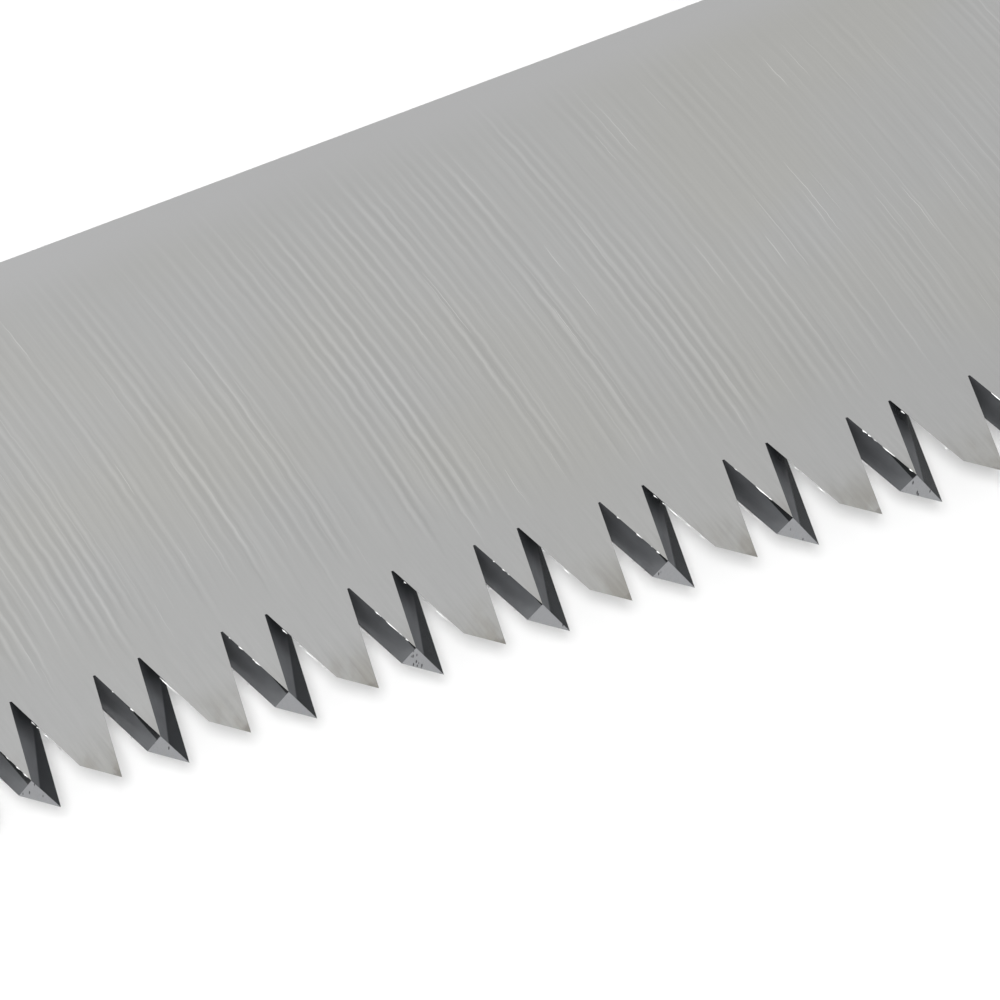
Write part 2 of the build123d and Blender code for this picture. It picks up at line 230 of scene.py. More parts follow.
class BladeShader(Shader):
    """Bright steel, ground across in long arcs between a band at the spine and the teeth."""

    def __init__(self):
        super().__init__("ground_blade_steel", metallic=1.0)
        self.from_tips = self.add(self.y, -TIP_Y)
        spine = self.add(self.times(self.x, SPINE_SLOPE), SPINE_Y_AT_PIVOT - SPINE_SLOPE * PIVOT.x)
        self.below_spine = self.add(spine, self.times(self.y, -1.0))
        rise = self.add(self.from_tips, GRIND_CENTRE_BELOW_TIPS)
        arc = self.math("SQRT", self.add(GRIND_RADIUS**2, self.times(self.times(rise, rise), -1.0)))
        wobble = self.times(self.swing(scale=0.8, detail=2.0), 0.20)
        self.across = self.add(self.add(self.x, self.times(arc, -1.0)), wobble)
        self.tooth_zone = self.rise(self.from_tips, *TOOTH_ZONE)

    def marks(self, cells_across, cells_along, detail, layer):
        """Noise around 0, drawn out along the wheel's arcs. Each layer of it is another pattern."""
        place = self.point(self.times(self.across, cells_across), self.times(self.y, cells_along), layer)
        return self.swing(place, detail=detail)

    def ground_zone(self):
        """1 where the wheel's marks are. They start below the spine and end above the gullets."""
        start = self.add(self.below_spine, self.times(self.marks(2.6, 0.02, 2.0, 31.0), 7.0))
        end = self.add(self.from_tips, self.times(self.marks(2.2, 0.02, 2.0, 47.0), 9.0))
        return self.times(self.rise(start, *MARKS_FROM_SPINE), self.rise(end, *MARKS_FROM_TIPS))

    def scallops(self, ground):
        """Evenly spaced scallops with narrow ridges between them, some deeper than others. The value is
        relief and also painted shade, with the ridges painted bright as highlights.
        """
        patches = self.rise(self.noise(stretch=(0.05, 0.07, 0.05), detail=2.0), 0.36, 0.62)
        light_cut = self.times(self.rise(self.x, LIGHT_CUT_START, LIGHT_CUT_START + 20.0),
                               self.rise(self.x, LIGHT_CUT_END + 25.0, LIGHT_CUT_END))
        strength = self.times(ground, self.add(0.50, self.times(patches, 0.60)))
        strength = self.times(strength, self.add(1.0, self.times(light_cut, -0.7)))
        shift = self.times(self.marks(0.30, 0.010, 1.0, 5.0), 6.0)
        phase = self.add(self.times(self.across, 2 * math.pi / SCALLOP_PITCH), shift)
        wave = self.add(0.5, self.times(self.math("COSINE", phase), 0.5))
        depth = self.rise(self.marks(0.42, 0.030, 2.0, 71.0), -0.16, 0.15)
        depth = self.add(0.15, self.times(depth, 1.05))
        return self.times(self.add(self.times(wave, wave), -0.375), self.times(depth, strength))

    def tooth_marks(self):
        """Streaks that lean along the teeth, stronger towards the tips."""
        lean = self.point(
            self.add(self.times(self.x, 5.0), self.times(self.y, 1.6)), self.times(self.y, 0.35), self.z
        )
        streaks = self.swing(lean, detail=3.0, roughness=0.65)
        strength = self.times(self.tooth_zone, self.add(0.6, self.rise(self.from_tips, 4.5, 1.0)))
        return self.times(streaks, strength)

    def slow_tone(self):
        """The steel has a few dark specks and is duller towards the teeth; painted light makes it brighter
        towards the toe.
        """
        specks = self.rise(self.cells(0.16), 0.022, 0.010)
        tone = self.add(1.0, self.times(specks, -0.6))
        tone = self.times(tone, self.add(1.0, self.times(self.rise(self.from_tips, *DULL_ZONE), -0.088)))
        # Painted light: brighter towards the toe.
        brighter = self.times(self.rise(self.x, PAINTED_LIGHT_START, PAINTED_LIGHT_FULL), 0.035)
        return self.times(tone, self.add(0.995, brighter))

    def colour(self):
        """Warm and cool steel in patches, a cooler band at the spine, and stained tooth tips."""
        patches = self.rise(self.noise(stretch=(0.07, 0.10, 0.07), detail=1.0), 0.35, 0.65)
        colour = self.mix(patches, STEEL_WARM, STEEL_COOL)
        colour = self.mix(self.times(self.rise(self.below_spine, *SPINE_BAND), 0.9), colour, STEEL_AT_SPINE)
        colour = self.mix(self.times(self.tooth_zone, 0.5), colour, STEEL_ON_TEETH)
        blotches = self.rise(self.noise(stretch=(0.9, 0.5, 0.9), detail=3.0), 0.40, 0.62)
        blotchy = self.add(0.35, self.times(blotches, 0.65))
        stain = self.times(self.rise(self.from_tips, *STAIN_ZONE), blotchy)
        colour = self.mix(self.times(stain, 0.76), colour, TOOTH_STAIN)
        ragged = self.add(self.from_tips, self.times(self.swing(scale=3.5, detail=2.0), 0.9))
        return self.mix(self.times(self.rise(ragged, 0.55, 0.15), 0.5), colour, TIP_STAIN)


def blade_face_material():
    """The wheel's marks with their scallops' painted shade and highlights, the streaks on the teeth and
    a fine grain, over the colour of the steel.
    """
    s = BladeShader()
    ground = s.ground_zone()
    scallop_relief_and_shade = s.scallops(ground)
    finest = s.times(s.marks(16.0, 0.3, 3.0, 23.0), 0.6)
    fine = s.times(s.add(s.marks(5.5, 0.10, 2.0, 11.0), finest), ground)
    bright_lines = s.times(s.rise(s.marks(6.5, 0.055, 1.0, 61.0), 0.17, 0.21), ground)
    hair_lines = s.times(s.rise(s.marks(12.0, 0.10, 1.0, 83.0), 0.235, 0.26), ground)
    tooth_marks = s.tooth_marks()
    grain = s.swing(scale=30.0, detail=1.0)
    cloud = s.swing(stretch=(0.05, 0.08, 0.05), detail=2.0)
    # Painted shade and highlights: the scallops' relief is laid into the colour as well as the bump.
    tone = s.add(1.0, s.times(scallop_relief_and_shade, 0.18))
    for mark, share in ((fine, 0.13), (bright_lines, 0.09), (hair_lines, 0.38), (tooth_marks, 0.24),
                        (grain, 0.05), (cloud, 0.05)):
        tone = s.add(tone, s.times(mark, share))
    colour = s.shade(s.colour(), s.times(tone, s.slow_tone()))
    roughness = s.add(0.33, s.times(s.add(grain, fine), 0.10))
    height = s.add(s.times(scallop_relief_and_shade, 0.8), s.add(fine, s.times(tooth_marks, 0.6)))
    return s.finish(colour, roughness, height, depth_mm=0.004)


# Painted shade: the gullet walls are the blade's own steel, coloured dark for the dark reflections they
# show.
BACK_WALL_LIT_AT_LAND, BACK_WALL_SHADED_AT_GULLET = (0.108, 0.112, 0.118), (0.066, 0.068, 0.072)
FRONT_WALL_PAINTED_HIGHLIGHT, FRONT_WALL_PAINTED_SHADE = (0.128, 0.132, 0.139), (0.032, 0.034, 0.037)
SECOND_BEVEL_PAINTED_DARK = (0.012, 0.013, 0.014)
SECOND_BEVEL_START, SECOND_BEVEL_START_RANGE = 2.2, 2.0  # over the tips
SECOND_BEVEL_WIDENING = 0.14  # per millimetre towards the tip
FRONT_STRIP_SLOPE = 0.175  # narrowing of the painted light strip per millimetre towards the tip
WALL_ROUGHNESS = 0.24
FACET_STEEL = (0.250, 0.254, 0.262)


def wall_shader(name):
    """Shared by the gullet walls: how far up the tooth, how near the face the wall is seen from,
    and a value from 0 to 1 that is the same all over one tooth's back wall."""
    s = Shader(name, metallic=0.35, Specular_IOR_Level=0.35)
    from_tips = s.add(s.y, -TIP_Y)
    side = s.math("SIGN", s.split(s.normal)[2])
    near = s.times(s.add(s.z, -MID_Z), side)
    behind_tip = s.add(s.add(s.x, s.times(from_tips, BACK_SLOPE)), -HEEL_TIP_X)
    draw = s.tree.nodes.new("ShaderNodeTexWhiteNoise")
    draw.noise_dimensions = "1D"
    s.feed(draw.inputs["W"], s.math("FLOOR", s.times(behind_tip, 1 / PITCH)))
    return s, from_tips, near, draw.outputs["Value"]


def finish_wall(s, colour, across_angle):
    """Fine grinding lines along the wall, and uneven tone."""
    angle = math.radians(across_angle)
    across = s.add(s.times(s.x, math.cos(angle)), s.times(s.y, math.sin(angle)))
    lines = s.swing(s.point(s.times(across, 14.0), s.times(s.z, 9.0), 5.0), detail=2.0)
    blotch = s.swing(scale=1.1, detail=2.0)
    tone = s.add(1.0, s.add(s.times(lines, 0.16), s.times(blotch, 0.35)))
    rough = s.add(WALL_ROUGHNESS, s.times(lines, 0.08))
    return s.finish(s.shade(colour, tone), rough, lines, depth_mm=0.0012)


def back_wall_material():
    """Painted shade: darkens from the land down into the gullet. A second bevel beside the face, which
    the mesh lacks, is painted black as its dark reflection; it starts part of the way along and widens
    towards the tip, by a different amount on each tooth."""
    s, from_tips, near, draw = wall_shader("tooth_back_wall")
    # Painted shade: lighter at the land, darker down in the gullet.
    colour = s.mix(s.rise(from_tips, 1.0, 5.6), BACK_WALL_LIT_AT_LAND, BACK_WALL_SHADED_AT_GULLET)
    # Painted reflection: a black strip stands in for the dark reflection of a second bevel not in the mesh.
    start = s.add(SECOND_BEVEL_START, s.times(draw, SECOND_BEVEL_START_RANGE))
    before_start = s.math("MAXIMUM", s.add(start, s.times(from_tips, -1.0)), 0.0)
    bevel = s.add(s.add(near, s.times(before_start, SECOND_BEVEL_WIDENING)), -HALF_T)
    return finish_wall(s, s.mix(s.rise(bevel, 0.0, 0.03), colour, SECOND_BEVEL_PAINTED_DARK), 29.0)


def front_wall_material():
    """Painted reflection and shade: a light strip beside the near face stands in for the bright
    reflection of a second bevel the mesh lacks; beyond it, and all over towards the gullet, the wall
    is painted dark.
    """
    s, from_tips, near, _ = wall_shader("tooth_front_wall")
    # Painted reflection: the light strip beside the near face.
    strip = s.rise(s.add(near, s.times(from_tips, FRONT_STRIP_SLOPE)), 0.40, 0.52)
    # Painted shade: the strip fades out towards the gullet.
    strip = s.times(strip, s.rise(from_tips, 5.3, 3.0))
    return finish_wall(s, s.mix(strip, FRONT_WALL_PAINTED_SHADE, FRONT_WALL_PAINTED_HIGHLIGHT), 0.0)


def tip_facet_material():
    """The short facet at a tooth's tip: brighter, with a few small nicks."""
    s = Shader("tooth_tip_facet", metallic=1.0)
    lines = s.swing(stretch=(9.0, 9.0, 2.0), detail=2.0)
    slanted = s.point(s.add(s.times(s.x, 3.4), s.times(s.y, -2.4)), s.add(s.x, s.y), s.z)
    some_teeth = s.rise(s.noise(scale=0.7), 0.40, 0.52)
    nicks = s.times(s.rise(s.cells(1.3, vector=slanted), 0.24, 0.15), some_teeth)
    tone = s.times(s.add(1.0, s.times(lines, 0.12)), s.add(1.0, s.times(nicks, -0.75)))
    return s.finish(s.shade(FACET_STEEL, tone), s.add(0.2, s.times(nicks, 0.3)), nicks, depth_mm=-0.01)


def brushed_material(name, base, cells, roughness, contrast=0.10, metallic=1.0):
    """Brushed metal: streaks with `cells` per millimetre along x, y and z, and a few scuffs."""
    s = Shader(name, metallic=metallic)
    streaks = s.noise(stretch=cells, detail=3.0, roughness=0.6)
    streak = s.add(streaks, -0.5)
    cloud = s.swing(scale=0.06, detail=3.0)
    scuffs = s.rise(s.noise(stretch=(0.9, 3.5, 0.9), detail=2.0), 0.66, 0.72)
    tone = s.add(1.0, s.times(streak, contrast * 2.0))
    tone = s.add(tone, s.times(cloud, contrast))
    rough = s.add(s.add(roughness, s.times(streak, 0.12)), s.times(scuffs, 0.06))
    return s.finish(s.shade(base, tone), rough, streaks, depth_mm=0.004)


SOCKET_RADIUS, SOCKET_DARK = 3.2, (0.11, 0.112, 0.118)


def turned_material(name, base, centre, top, roughness):
    """Metal turned on a lathe: fine rings around an axis along z through `centre`. The socket in the
    head, whose face is `top` from the middle plane, is dull and dark inside."""
    s = Shader(name, metallic=1.0)
    dx, dy = s.add(s.x, -centre.x), s.add(s.y, -centre.y)
    radius = s.math("SQRT", s.add(s.times(dx, dx), s.times(dy, dy)))
    groove = s.noise(s.point(s.times(radius, 5.0), 0.0, 0.0), detail=3.0)
    tone = s.add(1.0, s.times(s.add(groove, -0.5), 0.22))
    tone = s.add(tone, s.times(s.swing(scale=0.3, detail=2.0), 0.10))
    height = s.math("ABSOLUTE", s.add(s.z, -centre.z))
    near_axis = s.rise(radius, SOCKET_RADIUS + 0.2, SOCKET_RADIUS + 0.1)
    sunk = s.times(s.rise(height, top - 0.10, top - 0.80), near_axis)
    colour = s.mix(s.times(sunk, 0.85), base, SOCKET_DARK)
    rough = s.add(s.add(roughness, s.times(groove, 0.08)), s.times(sunk, 0.25))
    return s.finish(s.shade(colour, tone), rough, groove, depth_mm=0.008)


def rubber_material(name, base, roughness, grain_scale, grain_depth):
    """Moulded rubber: a fine pebbled grain, dusty in patches, worn smooth here and there."""
    s = Shader(name, Specular_IOR_Level=0.42)
    pebbles = s.cells(grain_scale, feature="SMOOTH_F1")
    small = s.noise(scale=grain_scale * 1.7, detail=2.0)
    wear = s.rise(s.noise(scale=0.045, detail=3.0), 0.44, 0.64)
    dust = s.rise(s.noise(scale=0.11, detail=4.0), 0.5, 0.75)
    tone = s.add(0.93, s.times(s.add(small, -0.5), 0.28))
    tone = s.add(tone, s.times(dust, 0.22))
    rough = s.add(s.add(roughness, s.times(wear, -0.10)), s.times(s.add(small, -0.5), 0.10))
    height = s.times(s.add(pebbles, s.times(small, 0.4)), s.add(1.0, s.times(wear, -0.45)))
    return s.finish(s.shade(base, tone), rough, height, grain_depth)


def floor_material():
    """Plain white stage."""
    s = Shader("stage_white", Emission_Color=WHITE, Emission_Strength=0.10)
    speckle = s.noise(scale=0.02, detail=1.0)
    return s.finish(s.shade((0.82, 0.82, 0.82), s.add(0.99, s.times(speckle, 0.02))), 0.9)


# ---- mesh helpers ----

def new_object(name, bm, materials, smooth_angle=None):
    """Makes an object from a bmesh, smooth except at edges sharper than smooth_angle, in degrees."""
    mesh = bpy.data.meshes.new(name)
    bm.to_mesh(mesh)
    bm.free()
    piece = bpy.data.objects.new(name, mesh)
    bpy.context.scene.collection.objects.link(piece)
    for material in materials:
        mesh.materials.append(material)
    smooth_by_angle(piece, smooth_angle)
    return piece


def smooth_by_angle(piece, degrees):
    """Smooth curved surfaces; faces square to the z axis stay flat right up to their edges."""
    if degrees is not None:
        piece.data.set_sharp_from_angle(angle=math.radians(degrees))
    for polygon in piece.data.polygons:
        polygon.use_smooth = degrees is not None and abs(polygon.normal.z) < 0.9999


def apply_modifier(piece, kind, **settings):
    """Adds a modifier and replaces the piece's mesh by the modified one."""
    modifier = piece.modifiers.new(kind.lower(), kind)
    for name, value in settings.items():
        setattr(modifier, name, value)
    graph = bpy.context.evaluated_depsgraph_get()
    graph.update()
    made = bpy.data.meshes.new_from_object(piece.evaluated_get(graph))
    piece.modifiers.clear()
    piece.data = made


def remesh(piece, voxel_mm, rounds):
    """Even quads over the whole piece, for relief to be pressed into. The rounds of smoothing even out
    the steps of the voxels and round the edges, as on a moulded part."""
    apply_modifier(piece, "REMESH", mode="VOXEL", voxel_size=voxel_mm * MM)
    apply_modifier(piece, "SMOOTH", factor=0.5, iterations=rounds)


def points_and_normals(piece):
    """Vertex places in millimetres and vertex normals, as arrays of three columns."""
    count = len(piece.data.vertices)
    places, normals = np.empty(count * 3), np.empty(count * 3)
    piece.data.vertices.foreach_get("co", places)
    piece.data.vertex_normals.foreach_get("vector", normals)
    return places.reshape(-1, 3) / MM, normals.reshape(-1, 3)


def press_in(piece, places, normals, depth):
    """Moves each vertex inwards along its normal by depth, in millimetres."""
    moved = (places - normals * depth[:, None]) * MM
    piece.data.vertices.foreach_set("co", moved.ravel())
    piece.data.update()


def soft_step(value, low, high):
    """0 below low, 1 above high and smooth between them."""
    share = np.clip((value - low) / (high - low), 0.0, 1.0)
    return share * share * (3.0 - 2.0 * share)


def stands_for(piece, body, node):
    """The piece moves with a body and is shown instead of a CAD node."""
    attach(piece, body)
    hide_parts(node)


def clean_copy(node):
    """The CAD node's mesh, welded."""
    bm = bmesh.new()
    bm.from_mesh(frame["nodes"][node].data)
    bmesh.ops.remove_doubles(bm, verts=bm.verts, dist=1e-6)
    bm.normal_update()
    return bm


# ---- blade ----

EDGE_BREAK = 0.12
FACE, EDGE, BACK_WALL, FRONT_WALL, TIP_FACET, BURR = range(6)
TIP_FACET_HEADING = Vector((-math.sin(LAND_ANGLE), -math.cos(LAND_ANGLE)))
LAND_RISE_AT_TIP_FACE = 1.35  # height of the end of the facet over the tip
LAND_RISE_AT_FAR_FACE = 1.45
BURR_ROOT = 0.05  # how far a burr reaches into the steel
FACE_NORMAL, EDGE_NORMAL = 0.98, 0.05  # least and greatest z part of the normals of faces and edges
BACK_WALL_HEADING = -0.3  # greatest x part of a back wall's heading
SHARP_ANGLE = 0.8  # radians


def among_teeth(place, margin_up, margin_back):
    """Whether a place is among the teeth, or within the margins above and behind them."""
    return place.y < TIP_Y + GULLET_DEPTH + margin_up and place.x < HEEL_TIP_X + margin_back


def ground_surface(polygon):
    """Which of the blade's surfaces a polygon is on."""
    if abs(polygon.normal.z) > FACE_NORMAL:
        return FACE
    on_teeth = among_teeth(polygon.calc_center_median() / MM, 0.2, 0.6)
    if not on_teeth or abs(polygon.normal.z) < EDGE_NORMAL:
        return EDGE
    heading = Vector(polygon.normal.xy).normalized()
    if heading.dot(TIP_FACET_HEADING) > 0.995:
        return TIP_FACET
    return FRONT_WALL if heading.x > BACK_WALL_HEADING else BACK_WALL


def away_from_teeth(edge):
    """Whether an edge of the blade is a sharp one of the spine, toe or tang."""
    middle = (edge.verts[0].co + edge.verts[1].co) / 2 / MM
    sharp = len(edge.link_faces) == 2 and edge.calc_face_angle() > SHARP_ANGLE
    return sharp and not among_teeth(middle, 1.0, 3.0)


def add_burr(bm, start, end, z_side, width, lift):
    """A sliver of raised, bright metal left by the grinding wheel along an edge. Returns its faces."""
    along = (end - start).normalized()
    out = Vector((-along.y, along.x, 0.0)) * width / 2
    up = Vector((0.0, 0.0, z_side * lift))
    root = Vector((0.0, 0.0, -z_side * BURR_ROOT))
    rings = []
    for share, size in ((0.0, 0.25), (0.3, 1.0), (0.5, 0.7), (1.0, 0.15)):
        point = start.lerp(end, share)
        rings.append([bm.verts.new((point + out * size + root * 0.2) * MM),
                      bm.verts.new((point + up * size) * MM),
                      bm.verts.new((point - out * size + root * 0.2) * MM),
                      bm.verts.new((point + root) * MM)])
    faces = [bm.faces.new(rings[0][::-1]), bm.faces.new(rings[-1])]
    for a, b in zip(rings, rings[1:]):
        for i in range(4):
            faces.append(bm.faces.new((a[i], a[(i + 1) % 4], b[(i + 1) % 4], b[i])))
    for face in faces:
        face.material_index = BURR
    return faces


def tooth_back_edge(index, z_side):
    """Both ends of a tooth's back edge on one face of the blade, from the gullet to the tip facet."""
    tip_x = HEEL_TIP_X - index * PITCH
    tip_is_here = (index % 2 == 0) == (z_side > 0)
    shift = -FLEAM_SHIFT if tip_is_here else 0.0
    root_x = tip_x - PITCH + GULLET_ROOT_X + GULLET_ROOT_FLAT + shift
    root = Vector((root_x, TIP_Y + GULLET_DEPTH, MID_Z + z_side * HALF_T))
    down = GULLET_DEPTH - (LAND_RISE_AT_TIP_FACE if tip_is_here else LAND_RISE_AT_FAR_FACE)
    return root, root + Vector((BACK_SLOPE * down, -down, 0.0))


def add_burrs(bm):
    """Short burrs on every back edge, and a long one on some. Lengths are shares of the edge."""
    draw = random.Random(5)
    faces = []
    for index in range(TOOTH_COUNT):
        for z_side in (1, -1):
            root, corner = tooth_back_edge(index, z_side)
            lengths = [draw.uniform(0.02, 0.09) for _ in range(draw.choice((2, 3, 5, 6)))]
            if draw.random() < 0.45:
                lengths.append(draw.uniform(0.16, 0.28))
            for length in lengths:
                begin = draw.uniform(0.08, 0.97 - length)
                start, end = root.lerp(corner, begin), root.lerp(corner, begin + length)
                width, lift = draw.uniform(0.04, 0.10), draw.uniform(0.008, 0.02)
                faces += add_burr(bm, start, end, z_side, width, lift)
    bmesh.ops.recalc_face_normals(bm, faces=faces)


def make_blade():
    """The CAD blade with broken edges, a material for each ground surface, and burrs."""
    bm = clean_copy("blade")
    bmesh.ops.bevel(
        bm, geom=[edge for edge in bm.edges if away_from_teeth(edge)], offset=EDGE_BREAK * MM, segments=2,
        affect="EDGES", clamp_overlap=True
    )
    bm.normal_update()
    for polygon in bm.faces:
        polygon.material_index = ground_surface(polygon)
    add_burrs(bm)
    materials = [
        blade_face_material(),
        brushed_material("blade_edge_steel", (0.42, 0.425, 0.43), (0.4, 0.4, 18.0), 0.30),
        back_wall_material(),
        front_wall_material(),
        tip_facet_material(),
        brushed_material("grinding_burr", (0.95, 0.95, 0.95), (6.0, 6.0, 6.0), 0.42),
    ]
    blade = new_object("blade_ground", bm, materials, smooth_angle=18)
    stands_for(blade, "blade", "blade")


make_blade()

# ---- metal parts: the CAD shapes with broken edges ----

def dress(node, material, edge_mm, body="handle"):
    """A copy of a CAD part with small bevels on its edges."""
    piece = new_object(node + "_finished", clean_copy(node), [material], smooth_angle=30)
    apply_modifier(
        piece, "BEVEL", width=edge_mm * MM, segments=2, limit_method="ANGLE", angle_limit=math.radians(35)
    )
    smooth_by_angle(piece, 30)
    stands_for(piece, body, node)


def dress_pivot():
    """The barrel nut and the screw of the pivot, turned on a lathe."""
    for node in ("pivot_barrel", "pivot_screw"):
        low, high = (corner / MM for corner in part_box(node))
        top = max(high.z - MID_Z, MID_Z - low.z)
        steel = turned_material(f"{node}_steel", (0.55, 0.555, 0.56), PIVOT, top, 0.18)
        dress(node, steel, 0.18)


def dress_metal_parts():
    """Every metal part but the blade and the spring."""
    lengthways, even = (0.25, 9.0, 9.0), (6.0, 6.0, 6.0)
    liner = brushed_material("liner_steel", (0.46, 0.465, 0.47), lengthways, 0.30)
    lever = brushed_material("lever_steel", (0.36, 0.365, 0.375), lengthways, 0.28)
    pin = brushed_material("pin_steel", (0.52, 0.525, 0.53), even, 0.22)
    spacer = brushed_material("spacer_alloy", (0.30, 0.305, 0.31), lengthways, 0.42)
    tube = brushed_material("tube_steel", (0.55, 0.555, 0.56), (7.0, 7.0, 0.3), 0.20)
    bronze = brushed_material("washer_bronze", (0.55, 0.36, 0.16), (3.0, 3.0, 3.0), 0.35)
    oxide = brushed_material(
        "black_oxide", (0.035, 0.036, 0.04), (5.0, 5.0, 5.0), 0.34, contrast=0.25, metallic=0.7
    )
    for side in ("left", "right"):
        dress(f"liner_{side}", liner, 0.15)
        dress(f"washer_{side}", bronze, 0.08)
        dress(f"grip_screws_{side}", oxide, 0.18)
    dress("lock_lever", lever, 0.10, body="lock_lever")
    dress_pivot()
    dress("stop_pin", pin, 0.15)
    dress("lever_pin", pin, 0.15)
    dress("spacer_rivets", pin, 0.12)
    dress("lanyard_tube", tube, 0.15)
    dress("back_spacer", spacer, 0.12)
    dress("end_spacer", spacer, 0.12)


SPRING_CLAMPED = 11.0  # length of the leaf that is fixed to the handle
SPRING_LENGTHS = 24


def make_lever_spring():
    """The leaf under the thumb pad, cut into short lengths."""
    low, high = (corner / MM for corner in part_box("lever_spring"))
    blued = brushed_material("blued_spring_steel", (0.07, 0.10, 0.21), (0.3, 9.0, 9.0), 0.25, contrast=0.3)
    bm = clean_copy("lever_spring")
    root_x = high.x - SPRING_CLAMPED
    for i in range(1, SPRING_LENGTHS):
        x = low.x + (root_x - low.x) * i / SPRING_LENGTHS
        everything = bm.verts[:] + bm.edges[:] + bm.faces[:]
        bmesh.ops.bisect_plane(
            bm, geom=everything, plane_co=Vector((x, 0.0, 0.0)) * MM, plane_no=(1.0, 0.0, 0.0)
        )
    spring = new_object("lever_spring_leaf", bm, [blued], smooth_angle=30)
    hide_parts("lever_spring")
    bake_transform(spring)


dress_metal_parts()
make_lever_spring()

# ---- moulded rubber ----

GRIP_VOXEL, GRIP_SMOOTHING, GRIP_FACES_KEPT = 0.42, 7, 0.38
GRIP_FLAT_HEIGHT = 10.8  # over the middle plane, just under the flat side of a grip
DIAMOND_PITCH, DIAMOND_ANGLE = 4.4, math.radians(58)
DIAMOND_GROOVE, DIAMOND_DEPTH = 0.85, 0.55  # half width and depth
BORDER_INSET, BORDER_GROOVE, BORDER_DEPTH = 2.2, 0.55, 0.40
PANEL_INSET = 3.3
SCREW_BOSS, TUBE_BOSS = 5.2, 8.5  # plain rings around the screws and the tube
OUTLINE_STEP = 2.0


def island_centres(node):
    """The middle of each separate solid in a CAD node, seen from above, in millimetres."""
    bm = clean_copy(node)
    seen, centres = set(), []
    for first in bm.verts:
        if first in seen:
            continue
        seen.add(first)
        island = [first]
        for vertex in island:
            for edge in vertex.link_edges:
                other = edge.other_vert(vertex)
                if other not in seen:
                    seen.add(other)
                    island.append(other)
        centres.append(sum((v.co.xy for v in island), Vector((0.0, 0.0))) / len(island) / MM)
    bm.free()
    return centres


def edge_margin(places, flat):
    """How far each place lies inside the outline of the flat side of the grip, in millimetres."""
    first, last = places[flat, 0].min(), places[flat, 0].max()
    columns = np.arange(first, last + OUTLINE_STEP, OUTLINE_STEP)
    low, high = [], []
    for x in columns:
        here = places[flat & (np.abs(places[:, 0] - x) < OUTLINE_STEP), 1]
        low.append(here.min() if len(here) else 0.0)
        high.append(here.max() if len(here) else 0.0)
    from_low = places[:, 1] - np.interp(places[:, 0], columns, low)
    from_high = np.interp(places[:, 0], columns, high) - places[:, 1]
    from_ends = np.minimum(places[:, 0] - first, last - places[:, 0])
    return np.minimum(np.minimum(from_low, from_high), from_ends)


def diamond_grooves(places):
    """0 on the diamonds and 1 at the bottom of the crossing grooves between them."""
    deepest = np.zeros(len(places))
    for lean in (1, -1):
        along = places[:, 0] * math.sin(DIAMOND_ANGLE) + lean * places[:, 1] * math.cos(DIAMOND_ANGLE)
        off = np.abs(along / DIAMOND_PITCH - np.round(along / DIAMOND_PITCH)) * DIAMOND_PITCH
        deepest = np.maximum(deepest, 1.0 - np.minimum(off / DIAMOND_GROOVE, 1.0))
    return soft_step(deepest, 0.0, 1.0)


def grip_relief(places, outward, bosses):
    """Depth of the diamond panel and of its border line. `outward` is each normal's share along the
    grip's outward direction, and places keep clear of each boss, a centre and a radius."""
    flat = (outward > 0.995) & (np.abs(places[:, 2] - MID_Z) > GRIP_FLAT_HEIGHT)
    margin = edge_margin(places, flat)
    panel = soft_step(margin, PANEL_INSET - 0.5, PANEL_INSET + 0.5)
    border = 1.0 - np.minimum(np.abs(margin - BORDER_INSET) / BORDER_GROOVE, 1.0)
    clear = np.ones(len(places))
    for centre, radius in bosses:
        away = np.hypot(places[:, 0] - centre.x, places[:, 1] - centre.y)
        clear *= soft_step(away, radius, radius + 0.7)
    depth = DIAMOND_DEPTH * panel * diamond_grooves(places) + BORDER_DEPTH * soft_step(border, 0.0, 1.0)
    return depth * soft_step(outward, 0.90, 0.98) * clear


def make_grip(side, z_side, material, bosses):
    """A grip shell with a diamond panel on its flat, inside a moulded border line."""
    grip = new_object(f"grip_{side}_moulded", clean_copy(f"grip_{side}"), [material])
    remesh(grip, GRIP_VOXEL, GRIP_SMOOTHING)
    places, normals = points_and_normals(grip)
    press_in(grip, places, normals, grip_relief(places, normals[:, 2] * z_side, bosses))
    apply_modifier(grip, "DECIMATE", ratio=GRIP_FACES_KEPT)
    smooth_by_angle(grip, 50)
    stands_for(grip, "handle", f"grip_{side}")


def make_grips():
    rubber = rubber_material("grip_rubber", (0.026, 0.027, 0.029), 0.58, 2.6, 0.09)
    tube_low, tube_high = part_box("lanyard_tube")
    tube = ((tube_low + tube_high) / 2 / MM).xy
    for side, z_side in (("left", 1), ("right", -1)):
        bosses = [(centre, SCREW_BOSS) for centre in island_centres(f"grip_screws_{side}")]
        make_grip(side, z_side, rubber, bosses + [(tube, TUBE_BOSS)])


PAD_VOXEL, PAD_SMOOTHING = 0.22, 3
RIDGE_PITCH, RIDGE_DEPTH = 2.2, 0.55
RIDGE_ZONE = 2.6  # from the pad's ends, and down from its top


